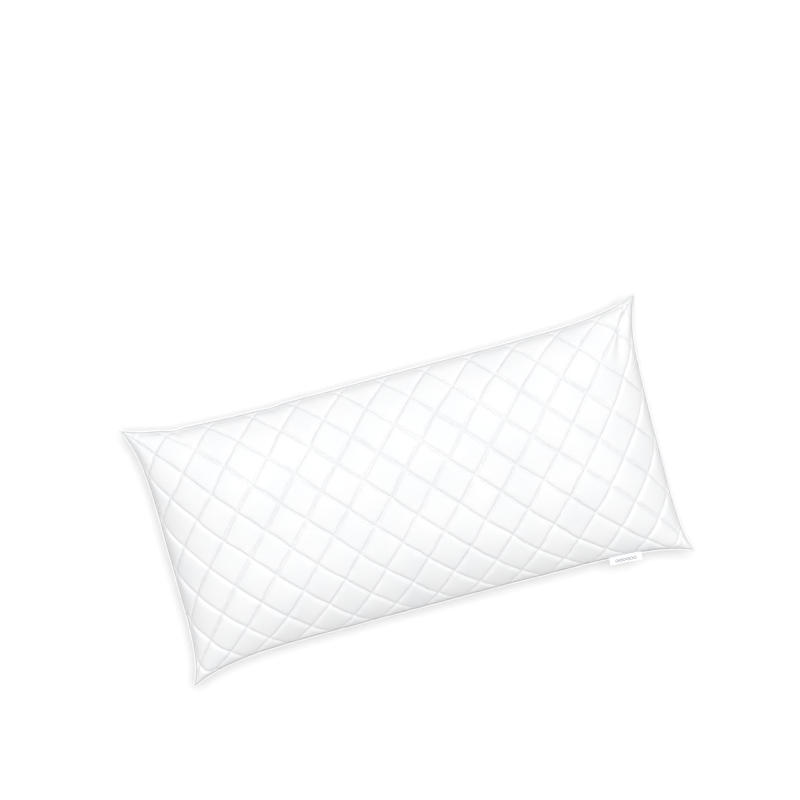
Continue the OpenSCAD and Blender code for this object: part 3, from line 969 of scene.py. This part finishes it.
def make_label():
    """A ribbon folded in two: sewn in beside the piping, over it, and out past the joint's axis."""
    axis = np.array(hinge["axis"])
    pivot = np.array(hinge["pos_m"])
    out = np.array([axis[1], -axis[0], 0])
    root = pivot - AXIS_OUT * out
    root[2] = SEAM_Z
    route = np.array(LABEL_ROUTE) * MM
    run = np.concatenate([[0], np.cumsum(np.linalg.norm(np.diff(route, axis=0), axis=1))])
    total = run[-1]
    q = np.linspace(0, total - 0.5 * RIBBON, LABEL_ROWS)
    middle = np.stack([np.interp(q, run, route[:, k]) for k in (0, 1)], -1)
    kernel = np.ones(5) / 5
    for k in (0, 1):
        padded = np.pad(middle[:, k], 2, mode="reflect", reflect_type="odd")
        middle[:, k] = np.convolve(padded, kernel, mode="valid")
    slope = np.gradient(middle, axis=0)
    slope /= np.linalg.norm(slope, axis=-1, keepdims=True)
    normal = np.stack([-slope[:, 1], slope[:, 0]], -1)
    w = np.linspace(-0.5, 0.5, LABEL_CELLS + 1) * LABEL_LENGTH
    # how far out of the seam's hold each row is, from 0 to 1
    share = np.clip((q - LABEL_HELD) / (total - LABEL_HELD), 0, 1)

    def ply_points(offset):
        """One surface of the folded ribbon at that distance from its middle layer."""
        section = middle + normal * offset[:, None]
        place = root + section[:, None, :1] * out + w[None, :, None] * axis
        place[..., 2] += section[:, None, 1]
        crease = np.exp(-np.abs(w) / (2.5 * MM))[None]
        bow = 1.8 * w[None] / LABEL_LENGTH + 0.7 * crease - 0.5 * np.cos(w[None] / (9 * MM))
        place[..., 2] += share[:, None] * bow * MM
        place[:] += (share[:, None] * 0.5 * MM * crease)[..., None] * -out
        return place

    gap = 0.16 * MM * np.sin(np.clip(share, 0, 1) * math.pi) ** 0.8 + 0.04 * MM
    fold = np.sqrt(np.clip(1 - np.clip((q - q[-1] + 1.2 * RIBBON) / (1.2 * RIBBON), 0, 1) ** 2, 0, 1))
    outer = (gap + RIBBON) * np.maximum(fold, 0.02)
    inner = np.where(q > q[-1] - 1.2 * RIBBON, 0, gap)
    # round the section: top outside, back along the bottom outside, then the inside from bottom to top
    inside = slice(None, -4)
    layers = [
        ply_points(outer),
        ply_points(-outer)[::-1],
        ply_points(-inner)[inside],
        ply_points(inner)[inside][::-1],
    ]
    loop = np.concatenate(layers, 0)
    rows, cells = loop.shape[:2]
    stack_uv = np.concatenate([q, q[::-1] + total, q[inside] + total, q[inside][::-1]])
    uv = np.stack(np.broadcast_arrays(w[None], stack_uv[:, None]), -1).reshape(-1, 2)
    faces = []
    for i in range(rows):
        n = (i + 1) % rows
        for j in range(cells - 1):
            faces.append((i * cells + j, n * cells + j, n * cells + j + 1, i * cells + j + 1))
    # the ribbon's two cut ends
    top_rows = len(q)
    inner_first = 2 * top_rows
    kept = top_rows - 4
    for j, flip in ((0, False), (cells - 1, True)):
        def at(row):
            return row * cells + j
        upper = list(range(top_rows))
        lower = [2 * top_rows - 1 - i for i in range(top_rows)]
        inner_low = [inner_first + i for i in range(kept)]
        inner_up = [inner_first + 2 * kept - 1 - i for i in range(kept)]
        for i in range(top_rows - 1):
            m, n = min(i, kept - 1), min(i + 1, kept - 1)
            for quad in (
                [upper[i], upper[i + 1], inner_up[n], inner_up[m]],
                [lower[i + 1], lower[i], inner_low[m], inner_low[n]],
            ):
                quad = list(dict.fromkeys(quad))
                face = [at(row) for row in quad]
                faces.append(face[::-1] if flip else face)
        last = [at(upper[-1]), at(lower[-1]), at(inner_low[-1]), at(inner_up[-1])]
        faces.append(last[::-1] if flip else last)
    piece = add_mesh("woven_label_ribbon", loop.reshape(-1, 3), faces, label_material, flat_uv=uv)
    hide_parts("woven_label")
    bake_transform(piece)
    return piece


make_label()

# ---------------------------------------------------------------- camera, floor and light
# The camera leans past the vertical, towards the side without the label.
VIEW_LEAN, VIEW_ROLL = math.radians(10.5), math.radians(14.9)
VIEW_DISTANCE, VIEW_WIDTH = 6.0, 1.214
AIM_LEFT, AIM_UP = 17 * MM, 137 * MM


def make_camera():
    back = np.array([0, math.sin(VIEW_LEAN), math.cos(VIEW_LEAN)])
    level_right = np.array([1.0, 0, 0])
    level_up = np.cross(back, level_right)
    right = math.cos(VIEW_ROLL) * level_right - math.sin(VIEW_ROLL) * level_up
    up = math.sin(VIEW_ROLL) * level_right + math.cos(VIEW_ROLL) * level_up
    aim = np.array([0, 0, SEAM_Z]) - AIM_LEFT * right + AIM_UP * up
    data = bpy.data.cameras.new("camera")
    data.sensor_width = 36
    data.lens = data.sensor_width * VIEW_DISTANCE / VIEW_WIDTH
    data.clip_end = 50
    camera = bpy.data.objects.new("camera", data)
    bpy.context.collection.objects.link(camera)
    matrix = np.eye(4)
    matrix[:3, 0], matrix[:3, 1], matrix[:3, 2] = right, up, back
    matrix[:3, 3] = aim + VIEW_DISTANCE * back
    camera.matrix_world = Matrix(matrix.tolist())
    bpy.context.scene.camera = camera


def make_floor():
    half = 40.0
    material, tree, shader = new_material("floor", (0.7, 0.7, 0.7), 0.9)
    shader.inputs["Emission Color"].default_value = (1, 1, 1, 1)
    shader.inputs["Emission Strength"].default_value = 0.165
    corners = [(x * half, y * half, FLOOR_Z) for x, y in ((-1, -1), (1, -1), (1, 1), (-1, 1))]
    floor = add_mesh("floor", corners, [(0, 1, 2, 3)], material)


def wide_sun(name, compass, elevation, spread, strength):
    """compass is the direction that the light comes from, anticlockwise from +X."""
    data = bpy.data.lights.new(name, "SUN")
    data.energy, data.angle = strength, math.radians(spread)
    light = bpy.data.objects.new(name, data)
    bpy.context.collection.objects.link(light)
    level = math.cos(math.radians(elevation))
    source = Vector((
        level * math.cos(math.radians(compass)),
        level * math.sin(math.radians(compass)),
        math.sin(math.radians(elevation)),
    ))
    light.rotation_euler = source.to_track_quat("Z", "Y").to_euler()
    light.location = 3 * source


def make_light():
    world = bpy.data.worlds.new("soft_room")
    world.use_nodes = True
    background = world.node_tree.nodes["Background"]
    background.inputs["Color"].default_value = (1, 1, 1, 1)
    background.inputs["Strength"].default_value = 0.525
    bpy.context.scene.world = world
    wide_sun("key", 78, 76, 26, 2.21)
    wide_sun("fill", -25, 40, 40, 0.08)
    bpy.context.scene.view_settings.view_transform = "Standard"


make_camera()
make_floor()
make_light()
